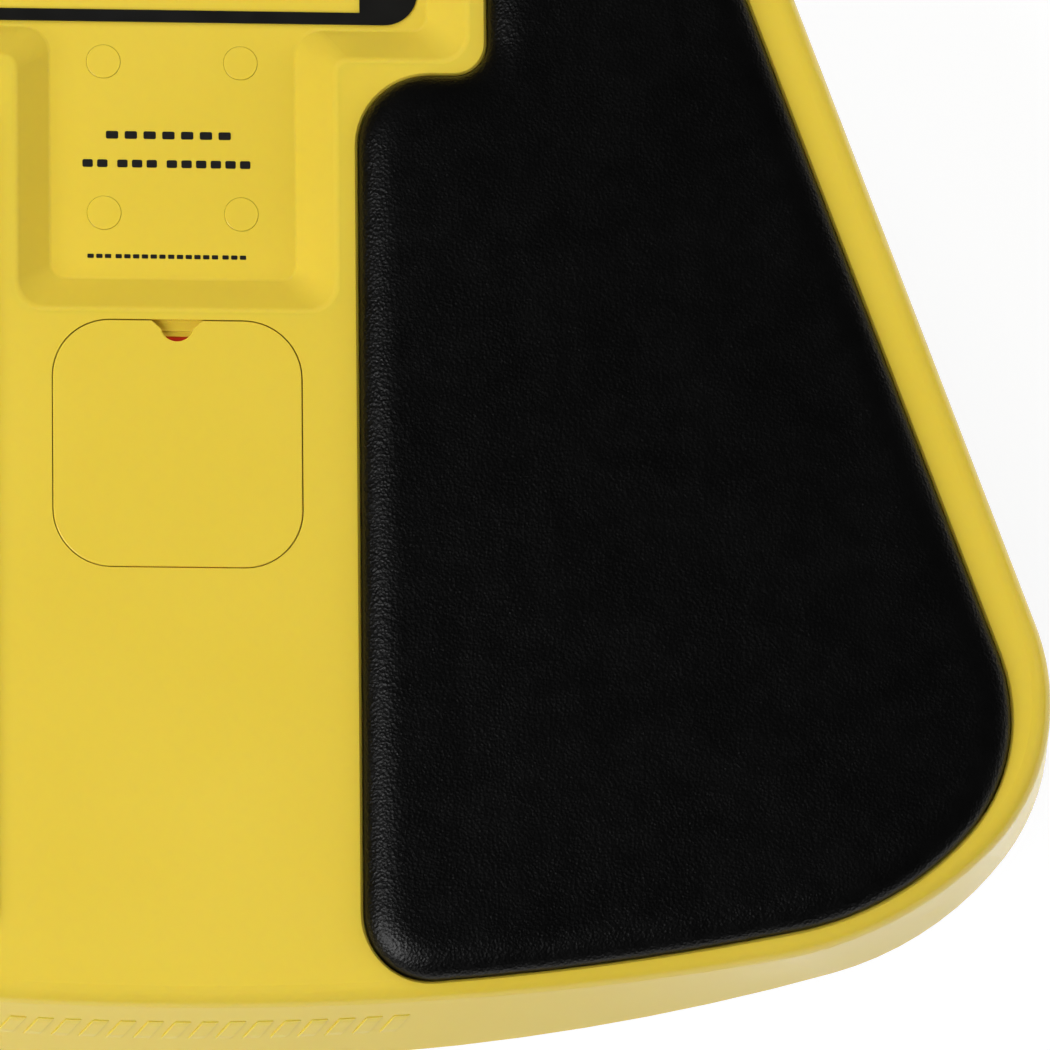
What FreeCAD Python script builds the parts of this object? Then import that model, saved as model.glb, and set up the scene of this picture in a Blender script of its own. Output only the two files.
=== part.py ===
import FreeCAD, Part
import math
import os

# Tilting forearm board for plank exercise: a moulded shell with two foam arm pads, a phone tray and
# a lift-up hatch, carried on a two-axis swivel joint that stands on a round weighted base.
# Millimetres. +Z is up, +X is the right arm, -Y is the elbow edge. Z = 0 is the ground.

# ---------------------------------------------------------------- driving dimensions
# board outline; each side edge is a straight line that leans by side_angle from the Y axis
side_angle = 20.4           # degrees
rim_half_width = 252.5      # top outline: X of the side line where it crosses Y = 0
rim_front_y = -212.5        # top outline: front edge on the centre line
rim_front_radius = 1200.0
rim_back_y = 220.0
rim_corner = (72.0, 68.0, 140.0)     # tight radius, degrees turned on it, easy radius
skirt_half_width = 255.5    # the same at the skirt's lower edge
skirt_front_y = -226.5
skirt_front_radius = 800.0
skirt_back_y = 226.5
skirt_corner = (72.0, 58.0, 112.0)
back_radius = 900.0
back_corner_radius = 52.0
board_depth = 38.0          # deck to the skirt's lower edge
shell_wall = 3.2
rim_round = 7.0             # rounding all along the top edge
rim_round_backing = 2.0     # how much thicker the wall is behind that rounding

# arm pads; the margins tie them to the rim and to the tray
pad_side_margin = 17.2      # along X, from the rim's side line to the pad's
pad_front_margin = 3.8
pad_back_margin = 14.0
pad_front_radius = 990.0
pad_corner = (59.0, 63.0, 104.0)
pad_leg_margin = 7.6        # deck left between the tray leg's rim and the pad
pad_wide_margin = 6.8       # the same beside the tray's wide part
pad_step_margin = 5.4       # and in front of it
pad_step_round = 24.0
pad_step_hollow = 11.5
pad_front_inner_round = 22.0
pad_back_round = 18.0
pad_thickness = 11.0
pad_sink = 3.0              # depth of the pocket that the pad lies in
pad_clearance = 0.4
pocket_bevel = 0.8          # on the deck, where it drops to the pad
pad_shoulder = 7.5

# phone tray: a wide part across the back and a leg towards the front
tray_depth = 12.0
tray_slope = 12.0           # how far the rim stands outside the floor
tray_back_margin = 14.0     # deck left behind the tray
tray_wide_half = 84.6
tray_wide_length = 80.3
tray_leg_half = 40.7
tray_leg_length = 84.4
tray_floor_round = 5.0
tray_floor_fillet = 1.5     # where the slope meets the floor
tray_rim_round = 9.0
tray_shoulder = 3.2         # rounding where the slope meets the deck
tray_seam = 1.6             # from the rim to the joint between the drop-in tray and the deck
phone_mat_side_gap = 3.2
phone_mat_end_gap = 1.9
phone_mat_round = 11.0
phone_mat_thickness = 0.8
phone_mat_side_border = 19.1
phone_mat_end_border = 4.0

# hatch and the well under it
hatch_half = 41.0
hatch_strip = 4.0           # deck left between the tray leg's rim and the hatch
hatch_round = 19.0
hatch_thickness = 3.0
hatch_gap = 0.4
hatch_edge_round = 0.4
hatch_seat_drop = 0.2
ledge_width = 5.0
ledge_thickness = 3.0
ledge_step_width = 1.7      # the ledge is a little lower along the edge of its mouth
ledge_step_depth = 0.7
notch_half = 5.3
notch_depth = 6.9
notch_flare = 3.0
tab_half_width = 6.0
tab_offset = 22.0
tab_reach = 3.0
tab_thickness = 1.3
tab_drop = 0.3              # how far the tab's top lies under the shell's skin
tab_root = 3.0
tab_slot_play = 1.0
well_wall = 2.5
well_lip = 7.0
well_tongue_half = 9.0      # the cup's tongue closes off the space under the finger notch
well_tongue_reach = 2.2

# swivel joint
pivot_z = 101.0
ear_inner = 20.0
ear_outer = 34.0
ear_radius = 17.0
flange_reach = 32.0         # pivot centre to each yoke's flange face
flange_thickness = 8.0
flange_radius = 56.0
trunnion_radius = 7.0
trunnion_tip = 37.0
cross_half = 18.0
cross_half_height = 13.0
bush_radius = 10.0
bush_collar_radius = 13.0
bush_collar = 1.5
running_fit = 0.05
press_gap = 0.02
ring_groove_radius = 6.3
ring_outer_radius = 9.5
ring_thickness = 1.2
ring_play = 0.1
tilt_limit = 15.0           # degrees, each way on each axis
stop_pitch_radius = 48.0
stop_post_radius = 7.0
stop_buffer_radius = 6.0
stop_buffer_height = 10.0
stop_clearance = 0.35
stop_stud = (2.5, 8.0)      # radius and length of each buffer's stud
stop_buffer_round = 1.5
yoke_drain_radius = 14.0
cross_round = 4.0
ring_mouth_half = 1.5
yoke_bolt_pitch_radius = 44.0
yoke_bolt_radius = 4.0

# board floor
plate_radius = 96.0
plate_thickness = 4.0
floor_wall = 3.0
skirt_drop = 3.0            # skirt edge below the board floor
floor_gap = 1.6
plate_screw_pitch_radius = 87.0
plate_screw_radius = 2.4
pivot_bolt_radius = 6.0
pivot_bolt_clearance = 0.3
washer_radius = 14.0
washer_thickness = 2.5
bolt_head_height = 8.0
bolt_head_flats = 18.0
nut_height = 9.5
nut_flats = 19.0
locating_pin_radius = 4.0
locating_pin_x = 40.0
locating_pin_play = 0.1
locating_pin_chamfer = 0.8
pin_recess = (1.0, 0.5)     # pin ends below the yoke flange's underside and the floor's top
bolt_tail = 1.5
bolt_crown = (2.6, 0.6)
thread_play = 0.03
post_radius = 5.0
post_inset = 26.0           # screw posts, from the rim's edge
shell_screw_radius = 1.9
shell_screw_length = 16.0
screw_play = 0.08
screw_head_radius = 3.8
screw_head_height = 2.4
screw_head_sink = 0.6       # recess for each head in the board floor
through_play = 0.3          # round a screw or head that passes through freely
screw_tip_play = 0.5        # hole left beyond a screw's tip
tray_plug_radius = 5.6
tray_plug_thickness = 2.9
tray_plug_edge = 18.0       # plug centre to the leg's side
tray_plug_front = (22.1, 72.9)       # and to the leg's front end, for each row
tray_screw_head_radius = 4.4
tray_screw_head_height = 3.0
tray_boss_wall = 3.4
tray_boss_height = 10.0
plug_play = 0.1
plug_proud = 0.3
plug_edge_round = 0.25
plug_seat_gap = 0.3         # between a plug and the screw head under it
plate_screw_length = 12.0
plate_screw_head = (4.4, 2.6)        # radius and height
plate_screw_start = 22.5    # degrees, first screw on its circle
rib_thickness = 2.0
rib_pitch = 44.0
rib_end_gap = 2.0           # between the frame's ribs and the board floor's lip
long_rib_offset = 26.0      # long rib, outside the pads' upper inner edge
lip_height = 5.0            # low wall round the board floor
hub_height = 10.0           # ring and screw bosses on the board floor, over the plate

# dome and base
dome_radius = 88.0
dome_wall = 3.0
dome_lower_angle = 33.0     # degrees below the pivot at the dome's lower edge
dome_flange_inner = 62.0
dome_flange_thickness = 3.0
dome_screw_pitch_radius = 69.0
six_screw_start = 30.0      # degrees, first of six screws on a circle
collar_drop = 11.0          # collar's upper edge below the pivot
seal_height = 3.5
seal_clearance = 0.4
seal_width = 5.0
base_radius = 165.0
foot_height = 6.0
foot_width = 19.0
foot_lip = 7.0
foot_round = 1.5
foot_groove_width = 1.6
foot_groove_depth = 1.2
foot_groove_steps = (7.0, 11.0, 15.0)     # from the ring's outer side
base_plate_thickness = 4.0
base_wall = 3.5
base_shoulder_radius = 102.0
base_edge_height = 12.0
pedestal_column_radius = 34.0
pedestal_column_wall = 6.0
pedestal_foot_radius = 76.0
pedestal_foot_thickness = 8.0
pedestal_screw_pitch_radius = 60.0
pedestal_screw_radius = 3.0
cover_screw_pitch_radius = 140.0
cover_post_height = 24.0
cover_screw_grip = 11.0
base_edge_round = 5.0
base_shoulder_drop = 12.0   # collar's upper edge to the shoulder
base_sag = (7.0, 9.0)       # how far the cover's slope hangs inwards and down
pedestal_screw_head = (5.2, 3.2)
yoke_bolt_head = (6.5, 6.0)
screw_share = (0.45, 0.4)   # socket depth and head rounding, as shares of a head's height

# ---------------------------------------------------------------- places and levels
tray_wide_back_y = rim_back_y - tray_back_margin - tray_slope
tray_wide_front_y = tray_wide_back_y - tray_wide_length
tray_leg_front_y = tray_wide_front_y - tray_leg_length
hatch_centre_y = tray_leg_front_y - tray_slope - hatch_strip - hatch_half
pad_half_width = rim_half_width - pad_side_margin
pad_front_y = rim_front_y + pad_front_margin
pad_back_y = rim_back_y - pad_back_margin
pad_inner_x = tray_leg_half + tray_slope + pad_leg_margin
pad_upper_inner_x = tray_wide_half + tray_slope + pad_wide_margin
pad_step_y = tray_wide_front_y - tray_slope - pad_step_margin
phone_mat_half = tray_wide_half - phone_mat_side_gap
phone_mat_front_y = tray_wide_front_y + phone_mat_end_gap
phone_mat_back_y = tray_wide_back_y - phone_mat_end_gap
flange_top_z = pivot_z + flange_reach + flange_thickness
floor_z = flange_top_z + plate_thickness
skirt_z = floor_z - skirt_drop
deck_z = skirt_z + board_depth
pocket_z = deck_z - pad_sink
tray_z = deck_z - tray_depth
floor_top_z = floor_z + floor_wall
hatch_ledge_z = deck_z - shell_wall - ledge_thickness
plug_floor_z = tray_z - tray_plug_thickness - plug_seat_gap
tray_screw_seat_z = plug_floor_z - tray_screw_head_height - plug_seat_gap
plate_top_z = foot_height + base_plate_thickness

V = FreeCAD.Vector
os.makedirs("parts", exist_ok=True)


# ---------------------------------------------------------------- helpers
def save(name, shape):
    solids = shape.Solids
    body = solids[0] if len(solids) == 1 else Part.makeCompound(solids)
    body.exportStep("parts/" + name + ".step")


def disc(radius, z0, z1, x=0.0, y=0.0):
    return Part.makeCylinder(radius, z1 - z0, V(x, y, z0))


def tube(inner, outer, z0, z1, x=0.0, y=0.0):
    return disc(outer, z0, z1, x, y).cut(disc(inner, z0 - 1, z1 + 1, x, y))


def block(x0, x1, y0, y1, z0, z1):
    return Part.makeBox(x1 - x0, y1 - y0, z1 - z0, V(x0, y0, z0))


def rod(radius, a, b, axis):
    """A cylinder through the pivot along X or Y, from a to b."""
    start = V(a, 0, pivot_z) if axis == "x" else V(0, a, pivot_z)
    along = V(1, 0, 0) if axis == "x" else V(0, 1, 0)
    return Part.makeCylinder(radius, b - a, start, along)


def hexagon(flats, z0, z1):
    corner = flats / 2 / math.cos(math.radians(30))
    points = [V(corner * math.cos(k * math.pi / 3), corner * math.sin(k * math.pi / 3), z0)
              for k in range(7)]
    return Part.Face(Part.makePolygon(points)).extrude(V(0, 0, z1 - z0))


def moved(shape, x, y, z=0.0):
    copy = shape.copy()
    copy.translate(V(x, y, z))
    return copy


def ring_points(radius, count, start=0.0):
    turn = 2 * math.pi / count
    return [(radius * math.cos(math.radians(start) + k * turn),
             radius * math.sin(math.radians(start) + k * turn)) for k in range(count)]


def joined(shapes):
    first, rest = shapes[0], shapes[1:]
    return first.fuse(rest).removeSplitter() if rest else first


def mirrored(shape):
    return shape.mirror(V(0, 0, 0), V(1, 0, 0))


def line(a, b):
    return Part.LineSegment(a, b).toShape()


def arc(a, middle, b):
    return Part.Arc(a, middle, b).toShape()


def around(centre, radius, degrees):
    turn = math.radians(degrees)
    return V(centre.x + radius * math.cos(turn), centre.y + radius * math.sin(turn), 0)


def plan_wire(edges, rounds):
    """Close the edges into a plan outline and round the corners listed as (x, y, radius)."""
    solid = Part.Face(Part.Wire(Part.__sortEdges__(edges))).extrude(V(0, 0, 10))
    for x, y, radius in rounds:
        hits = [e for e in solid.Edges if len(e.Vertexes) == 2
                and all(math.hypot(v.X - x, v.Y - y) < 0.01 for v in e.Vertexes)]
        solid = solid.makeFillet(radius, hits)
    bottom = [f for f in solid.Faces if abs(f.CenterOfMass.z) < 1e-6][0]
    return bottom.OuterWire


def swept(wire, z0, z1):
    return Part.Face(moved(wire, 0, 0, z0)).extrude(V(0, 0, z1 - z0))


def side_and_front(half_width, front_y, front_radius, corner):
    """Side line, two-radius corner and front arc of the right half, as (edges, back part of the line)."""
    tight, turned, easy = corner
    lean = math.radians(side_angle)
    along = V(math.sin(lean), -math.cos(lean), 0)
    outward = V(math.cos(lean), math.sin(lean), 0)
    front_centre = V(0, front_y + front_radius, 0)
    turn_at = -turned + side_angle
    joint_out = V(math.cos(math.radians(turn_at)), math.sin(math.radians(turn_at)), 0)
    start = V(half_width, 0, 0) - outward * tight
    easy_start = start + joint_out * (tight - easy)
    rel = easy_start - front_centre
    b = rel.dot(along)
    run = -b + math.sqrt(b * b - rel.dot(rel) + (front_radius - easy) ** 2)
    tight_centre = start + along * run
    easy_centre = easy_start + along * run
    end_out = (easy_centre - front_centre).normalize()
    end_at = math.degrees(math.atan2(end_out.y, end_out.x))
    line_end = tight_centre + outward * tight
    joint = tight_centre + joint_out * tight
    end = front_centre + end_out * front_radius
    edges = [arc(line_end, around(tight_centre, tight, (side_angle + turn_at) / 2), joint),
             arc(joint, around(easy_centre, easy, (turn_at + end_at) / 2), end)]
    return edges, line_end, end


def board_wire(half_width, front_y, front_radius, corner, back_y, inset):
    """Outline of the board at one level, drawn inset from its outer face."""
    lean = math.radians(side_angle)
    half = half_width - inset / math.cos(lean)
    tight, turned, easy = corner
    right, line_end, end = side_and_front(half, front_y + inset, front_radius - inset,
                                          (tight - inset, turned, easy - inset))
    radius = back_radius - inset
    back_centre = back_y - inset - radius
    slope = math.tan(lean)
    a = 1 + slope * slope
    b = -half * slope - back_centre
    y = (-b + math.sqrt(b * b - a * (half * half + back_centre ** 2 - radius ** 2))) / a
    corner_point = V(half - slope * y, y, 0)
    left = [mirrored(e) for e in right]
    edges = right + left
    edges.append(line(corner_point, line_end))
    edges.append(line(V(-corner_point.x, corner_point.y, 0), V(-line_end.x, line_end.y, 0)))
    edges.append(arc(V(-end.x, end.y, 0), V(0, front_y + inset, 0), end))
    edges.append(arc(V(-corner_point.x, corner_point.y, 0), V(0, back_y - inset, 0), corner_point))
    rounds = [(s * corner_point.x, corner_point.y, back_corner_radius - inset) for s in (1, -1)]
    return plan_wire(edges, rounds)


def rim_wire(inset):
    return board_wire(rim_half_width, rim_front_y, rim_front_radius, rim_corner, rim_back_y, inset)


def skirt_wire(inset):
    return board_wire(skirt_half_width, skirt_front_y, skirt_front_radius, skirt_corner, skirt_back_y,
                      inset)


def pad_wire(grow):
    """Outline of the right arm pad, grown by a clearance or a wall."""
    lean = math.radians(side_angle)
    half = pad_half_width + grow / math.cos(lean)
    tight, turned, easy = pad_corner
    radius = pad_front_radius + grow
    front_y = pad_front_y - grow
    edges, line_end, end = side_and_front(half, front_y, radius, (tight + grow, turned, easy + grow))
    inner = pad_inner_x - grow
    upper = pad_upper_inner_x - grow
    step = pad_step_y + grow
    back = pad_back_y + grow
    front_inner = V(inner, front_y + radius - math.sqrt(radius ** 2 - inner ** 2), 0)
    middle_x = (inner + end.x) / 2
    front_middle = V(middle_x, front_y + radius - math.sqrt(radius ** 2 - middle_x ** 2), 0)
    back_outer = V(half - math.tan(lean) * back, back, 0)
    edges += [line(line_end, back_outer), line(back_outer, V(upper, back, 0)),
              line(V(upper, back, 0), V(upper, step, 0)), line(V(upper, step, 0), V(inner, step, 0)),
              line(V(inner, step, 0), front_inner), arc(front_inner, front_middle, end)]
    rounds = [(back_outer.x, back, pad_back_round + grow), (upper, back, pad_back_round + grow),
              (upper, step, pad_step_hollow - grow), (inner, step, pad_step_round + grow),
              (inner, front_inner.y, pad_front_inner_round + grow)]
    return plan_wire(edges, rounds)


def tee_wire(grow, round_out, round_in):
    """Plan of the phone tray, grown outwards from its floor."""
    wide = tray_wide_half + grow
    leg = tray_leg_half + grow
    front = tray_leg_front_y - grow
    step = tray_wide_front_y - grow
    back = tray_wide_back_y + grow
    right = [V(leg, front, 0), V(leg, step, 0), V(wide, step, 0), V(wide, back, 0)]
    left = [V(-p.x, p.y, 0) for p in reversed(right)]
    loop = right + left
    edges = [line(loop[k], loop[(k + 1) % len(loop)]) for k in range(len(loop))]
    rounds = []
    for s in (1, -1):
        rounds += [(s * leg, front, round_out), (s * leg, step, round_in),
                   (s * wide, step, round_out), (s * wide, back, round_out)]
    return plan_wire(edges, rounds)


def rounded_square(half, radius, z0, z1, y=0.0):
    box = block(-half, half, y - half, y + half, z0, z1)
    upright = [e for e in box.Edges if abs(e.Vertexes[0].Z - e.Vertexes[1].Z) > (z1 - z0) / 2]
    return box.makeFillet(radius, upright)


def edges_at(shape, test):
    return [e for e in shape.Edges if all(test(v.X, v.Y, v.Z) for v in e.Vertexes)]


# ---------------------------------------------------------------- top shell
def post_places():
    """Screw posts round the board, kept clear of the tray, the well and the plate."""
    lean = math.radians(side_angle)
    length = rim_back_y - rim_front_y
    right = []
    for share in (0.16, 0.30, 0.47, 0.64, 0.81):
        y = rim_front_y + share * length
        right.append((rim_half_width - post_inset / math.cos(lean) - y * math.tan(lean), y))
    right[0] = (right[0][0] - rim_corner[0] * 0.35, right[0][1])
    for share in (0.28, 0.62):
        x = rim_half_width * share
        right.append((x, rim_front_y + post_inset + x * x / rim_front_radius / 2))
    right.append((pad_upper_inner_x + post_inset * 0.6, rim_back_y - post_inset))
    return [(s * x, y) for x, y in right for s in (1, -1)]


def tray_screw_places():
    return [(s * (tray_leg_half - tray_plug_edge), tray_leg_front_y + y) for y in tray_plug_front
            for s in (1, -1)]


def inner_space(gap):
    """The room inside the top shell's walls, kept clear of them by a gap."""
    lean = (skirt_half_width - rim_half_width) / board_depth
    inset_top = shell_wall - lean * shell_wall + rim_round_backing
    return Part.makeLoft([moved(skirt_wire(shell_wall + gap), 0, 0, skirt_z),
                          moved(rim_wire(inset_top + gap), 0, 0, deck_z - shell_wall)], True, True)


def shell_linings():
    """What the top shell has under its skin: the pad pans, the tray's outer side and its screw bosses."""
    pan = swept(pad_wire(pad_clearance + shell_wall), pocket_z - shell_wall, deck_z - shell_wall)
    lean = math.atan2(tray_depth, tray_slope)
    wall_shift = shell_wall * (1 / math.sin(lean) - 1 / math.tan(lean))
    tray_outer = Part.makeLoft(
        [moved(tee_wire(wall_shift, tray_floor_round, tray_rim_round), 0, 0, tray_z - shell_wall),
         moved(tee_wire(tray_slope + wall_shift, tray_rim_round, tray_floor_round), 0, 0,
               deck_z - shell_wall)],
        True, True)
    tray_bosses = [disc(tray_screw_head_radius + tray_boss_wall, tray_z - tray_boss_height, tray_z - 1,
                        x, y)
                   for x, y in tray_screw_places()]
    return [pan, mirrored(pan), tray_outer] + tray_bosses


def ledge_blank():
    """The hatch's ledge ring before its mouth is cut."""
    return rounded_square(hatch_half + shell_wall, hatch_round + shell_wall, hatch_ledge_z,
                          deck_z - shell_wall, hatch_centre_y)


def make_inner_frame():
    """Egg-crate stiffener between the top shell and the board floor, cut away round what stands in it."""
    reach = 2 * skirt_half_width
    low, high = floor_top_z + lip_height + rib_end_gap, deck_z - shell_wall
    half = rib_thickness / 2
    rows = int(rim_back_y // rib_pitch)
    ribs = [block(-reach, reach, k * rib_pitch - half, k * rib_pitch + half, low, high)
            for k in range(-rows, rows + 1)]
    frame_x = pad_upper_inner_x + long_rib_offset
    ribs += [block(x - half, x + half, -reach, reach, low, high) for x in (frame_x, -frame_x)]
    frame = joined(ribs).common(inner_space(pad_clearance))
    hollows = [rounded_square(hatch_half + well_lip, tray_rim_round, low - 1, high + 1, hatch_centre_y),
               disc(plate_radius + post_radius, low - 1, floor_top_z + hub_height + rib_end_gap, 0,
                    hatch_centre_y)]
    hollows += [disc(post_radius + 1, low - 1, high + 1, x, y) for x, y in post_places()]
    hollows += [disc(post_radius + tray_boss_wall, low - 1, high + 1, x, y) for x, y in tray_screw_places()]
    pieces = frame.cut(shell_linings() + [ledge_blank()] + hollows).Solids
    return max(pieces, key=lambda piece: piece.Volume)


def make_whole_shell():
    """The top shell and its drop-in tray in one, before they are parted at the seam."""
    outer = Part.makeLoft([moved(skirt_wire(0), 0, 0, skirt_z), moved(rim_wire(0), 0, 0, deck_z)],
                          True, True)
    top_edges = edges_at(outer, lambda x, y, z: abs(z - deck_z) < 1e-3)
    outer = outer.makeFillet(rim_round, top_edges)
    posts = [disc(post_radius, floor_top_z, deck_z - shell_wall, x, y) for x, y in post_places()]
    shell = outer.cut(inner_space(0)).fuse(shell_linings() + posts)

    pocket = swept(pad_wire(pad_clearance), pocket_z, deck_z + 5)
    tray_cut = Part.makeLoft([moved(tee_wire(0, tray_floor_round, tray_rim_round), 0, 0, tray_z),
                              moved(tee_wire(tray_slope, tray_rim_round, tray_floor_round), 0, 0,
                                    deck_z)], True, True)
    floor_edges = edges_at(tray_cut, lambda x, y, z: abs(z - tray_z) < 1e-3)
    tray_cut = tray_cut.makeFillet(tray_floor_fillet, floor_edges)
    above = swept(tee_wire(tray_slope, tray_rim_round, tray_floor_round), deck_z, deck_z + 5)
    seat = rounded_square(hatch_half + hatch_gap, hatch_round + hatch_gap,
                          deck_z - hatch_thickness - hatch_seat_drop,
                          deck_z + 5, hatch_centre_y)
    shell = shell.cut([tray_cut, above])
    tray_rim = edges_at(shell, lambda x, y, z: abs(z - deck_z) < 1e-3 and abs(x) < pad_upper_inner_x
                        and tray_leg_front_y - tray_slope - 1 < y < tray_wide_back_y + tray_slope + 1)
    shell = shell.makeFillet(tray_shoulder, tray_rim)
    bevel = Part.makeLoft([moved(pad_wire(pad_clearance - pocket_bevel), 0, 0, deck_z - 2 * pocket_bevel),
                           moved(pad_wire(pad_clearance + 2 * pocket_bevel), 0, 0, deck_z + pocket_bevel)],
                          True, True)
    shell = shell.cut([pocket, mirrored(pocket), bevel, mirrored(bevel)])
    shell = shell.cut(seat)
    holes = [disc(shell_screw_radius + screw_play, floor_top_z - 1, floor_top_z + shell_screw_length, x, y)
             for x, y in post_places()]
    for x, y in tray_screw_places():
        holes.append(disc(tray_plug_radius + plug_play, plug_floor_z, tray_z + 1, x, y))
        holes.append(disc(tray_screw_head_radius + through_play, tray_screw_seat_z, plug_floor_z, x, y))
        holes.append(disc(shell_screw_radius + screw_play, tray_z - tray_boss_height - 1, tray_z, x, y))
    return shell.cut(holes)


def make_hatch_ledge(shell):
    """The ring that carries the hatch, welded under the deck, with a slot for each of the hatch's tabs."""
    mouth_half = hatch_half + hatch_gap - ledge_width
    mouth_round = hatch_round - ledge_width
    top = deck_z - shell_wall
    mouth = rounded_square(mouth_half, mouth_round, hatch_ledge_z - 1, top + 1, hatch_centre_y)
    step = rounded_square(mouth_half + ledge_step_width, mouth_round + ledge_step_width,
                          top - ledge_step_depth, top + 1, hatch_centre_y)
    hinge_y = hatch_centre_y - hatch_half
    slots = [block(s * tab_offset - tab_half_width - tab_slot_play,
                   s * tab_offset + tab_half_width + tab_slot_play,
                   hinge_y - tab_reach - tab_slot_play, hinge_y + ledge_width + tab_slot_play,
                   hatch_ledge_z - 1, top + 1) for s in (1, -1)]
    pieces = ledge_blank().cut([mouth, step, tray_room()] + slots).cut(shell).Solids
    return max(pieces, key=lambda piece: piece.Volume)


def tray_room():
    """All that lies inside the tray's seam, from under its bosses to over the deck."""
    return swept(tee_wire(tray_slope + tray_seam, tray_rim_round, tray_floor_round), floor_top_z,
                 deck_z + 1)


# ---------------------------------------------------------------- pieces seen on the deck
def make_pad():
    pad = swept(pad_wire(0), pocket_z, pocket_z + pad_thickness)
    top = edges_at(pad, lambda x, y, z: abs(z - pocket_z - pad_thickness) < 1e-3)
    return pad.makeFillet(pad_shoulder, top)


def make_phone_mat():
    outer = block(-phone_mat_half, phone_mat_half, phone_mat_front_y, phone_mat_back_y,
                  tray_z, tray_z + phone_mat_thickness)
    upright = [e for e in outer.Edges if abs(e.Vertexes[0].Z - e.Vertexes[1].Z) > phone_mat_thickness / 2]
    outer = outer.makeFillet(phone_mat_round, upright)
    window_half = phone_mat_half - phone_mat_side_border
    window = block(-window_half, window_half, phone_mat_front_y + phone_mat_end_border,
                   phone_mat_back_y - phone_mat_end_border, tray_z - 1, tray_z + phone_mat_thickness + 1)
    return outer.cut(window)


def make_hatch_cover():
    lid_z = deck_z - hatch_thickness
    lid = rounded_square(hatch_half, hatch_round, lid_z, deck_z, hatch_centre_y)
    edge_y = hatch_centre_y + hatch_half
    base_y = edge_y - notch_depth
    mouth = notch_half + notch_flare
    bowl_y = base_y + notch_half * 0.8
    right = [V(notch_half, bowl_y, 0), V(mouth, edge_y, 0), V(mouth, edge_y + 1, 0)]
    left = [V(-p.x, p.y, 0) for p in right]
    sides = [line(side[k], side[k + 1]) for side in (right, left) for k in (0, 1)]
    sides += [arc(left[0], V(0, base_y, 0), right[0]), line(right[2], left[2])]
    lid = lid.cut(swept(Part.Wire(Part.__sortEdges__(sides)), lid_z - 1, deck_z + 1))
    lid = lid.makeFillet(hatch_edge_round, edges_at(lid, lambda x, y, z: abs(z - deck_z) < 1e-3))
    hinge_y = hatch_centre_y - hatch_half
    tab_top = deck_z - shell_wall - tab_drop
    tabs = []
    for s in (1, -1):
        x0, x1 = s * tab_offset - tab_half_width, s * tab_offset + tab_half_width
        tabs.append(block(x0, x1, hinge_y - tab_reach, hinge_y + tab_root, tab_top - tab_thickness,
                          tab_top))
        tabs.append(block(x0, x1, hinge_y + 1, hinge_y + tab_root, tab_top - tab_thickness, lid_z))
    return joined([lid] + tabs)


def make_well_cup():
    top = hatch_ledge_z
    inner = hatch_half + hatch_gap - ledge_width
    foot = floor_top_z
    cup = rounded_square(inner + well_wall, hatch_round - ledge_width + well_wall, foot, top,
                         hatch_centre_y)
    lip = rounded_square(inner + well_lip, hatch_round, top - well_wall, top, hatch_centre_y)
    hollow = rounded_square(inner, hatch_round - ledge_width, foot + well_wall, top + 1, hatch_centre_y)
    bolt_hole = disc(pivot_bolt_radius + pivot_bolt_clearance, foot - 1, foot + well_wall + 1, 0,
                     hatch_centre_y)
    inner_y = hatch_centre_y + inner
    tongue = block(-well_tongue_half, well_tongue_half, inner_y - well_tongue_reach, inner_y + 1,
                   top - well_wall, top)
    for s in (1, -1):
        corner = edges_at(tongue, lambda x, y, z: abs(x - s * well_tongue_half) < 1e-3
                          and abs(y - inner_y + well_tongue_reach) < 1e-3)
        tongue = tongue.makeFillet(well_tongue_reach / 2, corner)
    return cup.fuse(lip).removeSplitter().cut(hollow).cut(bolt_hole).fuse(tongue).removeSplitter()


# ---------------------------------------------------------------- board floor and its fixings
def make_bottom_shell():
    inside = inner_space(floor_gap)
    reach = 2 * skirt_half_width
    floor = inside.common(block(-reach, reach, -reach, reach, floor_z, floor_top_z))
    rim = floor_top_z + lip_height
    lip = inside.common(block(-reach, reach, -reach, reach, floor_top_z, rim))
    lip = lip.cut(inner_space(floor_gap + rib_thickness))
    lip = lip.cut([disc(post_radius + 1, floor_top_z - 1, rim + 1, x, y) for x, y in post_places()])
    hub = tube(plate_radius + 1, plate_radius + 1 + rib_thickness, floor_top_z,
               floor_top_z + hub_height, 0, hatch_centre_y)
    bosses = [disc(post_radius, floor_top_z, floor_top_z + hub_height, x, y + hatch_centre_y)
              for x, y in ring_points(plate_screw_pitch_radius, 8, plate_screw_start)]
    posts = [disc(post_radius, floor_top_z, tray_z - tray_boss_height, x, y)
             for x, y in tray_screw_places()]
    shell = joined([floor] + lip.Solids + [hub] + bosses + posts)
    cuts = [disc(pivot_bolt_radius + pivot_bolt_clearance, floor_z - 1, floor_top_z + 1, 0, hatch_centre_y)]
    for s in (1, -1):
        cuts.append(disc(locating_pin_radius + locating_pin_play, floor_z - 1, floor_top_z + 1,
                         s * locating_pin_x, hatch_centre_y))
    for x, y in ring_points(plate_screw_pitch_radius, 8, plate_screw_start):
        cuts.append(disc(plate_screw_radius + screw_play, floor_z - 1, floor_top_z + hub_height - 1,
                         x, y + hatch_centre_y))
    for x, y in post_places():
        cuts.append(disc(shell_screw_radius + through_play, floor_z - 1, floor_top_z + 1, x, y))
        cuts.append(disc(screw_head_radius + through_play, floor_z - 1, floor_z + screw_head_sink, x, y))
    for x, y in tray_screw_places():
        cuts.append(disc(shell_screw_radius + screw_play, floor_top_z + floor_wall - 1, tray_z, x, y))
    return shell.cut(cuts)


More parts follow.
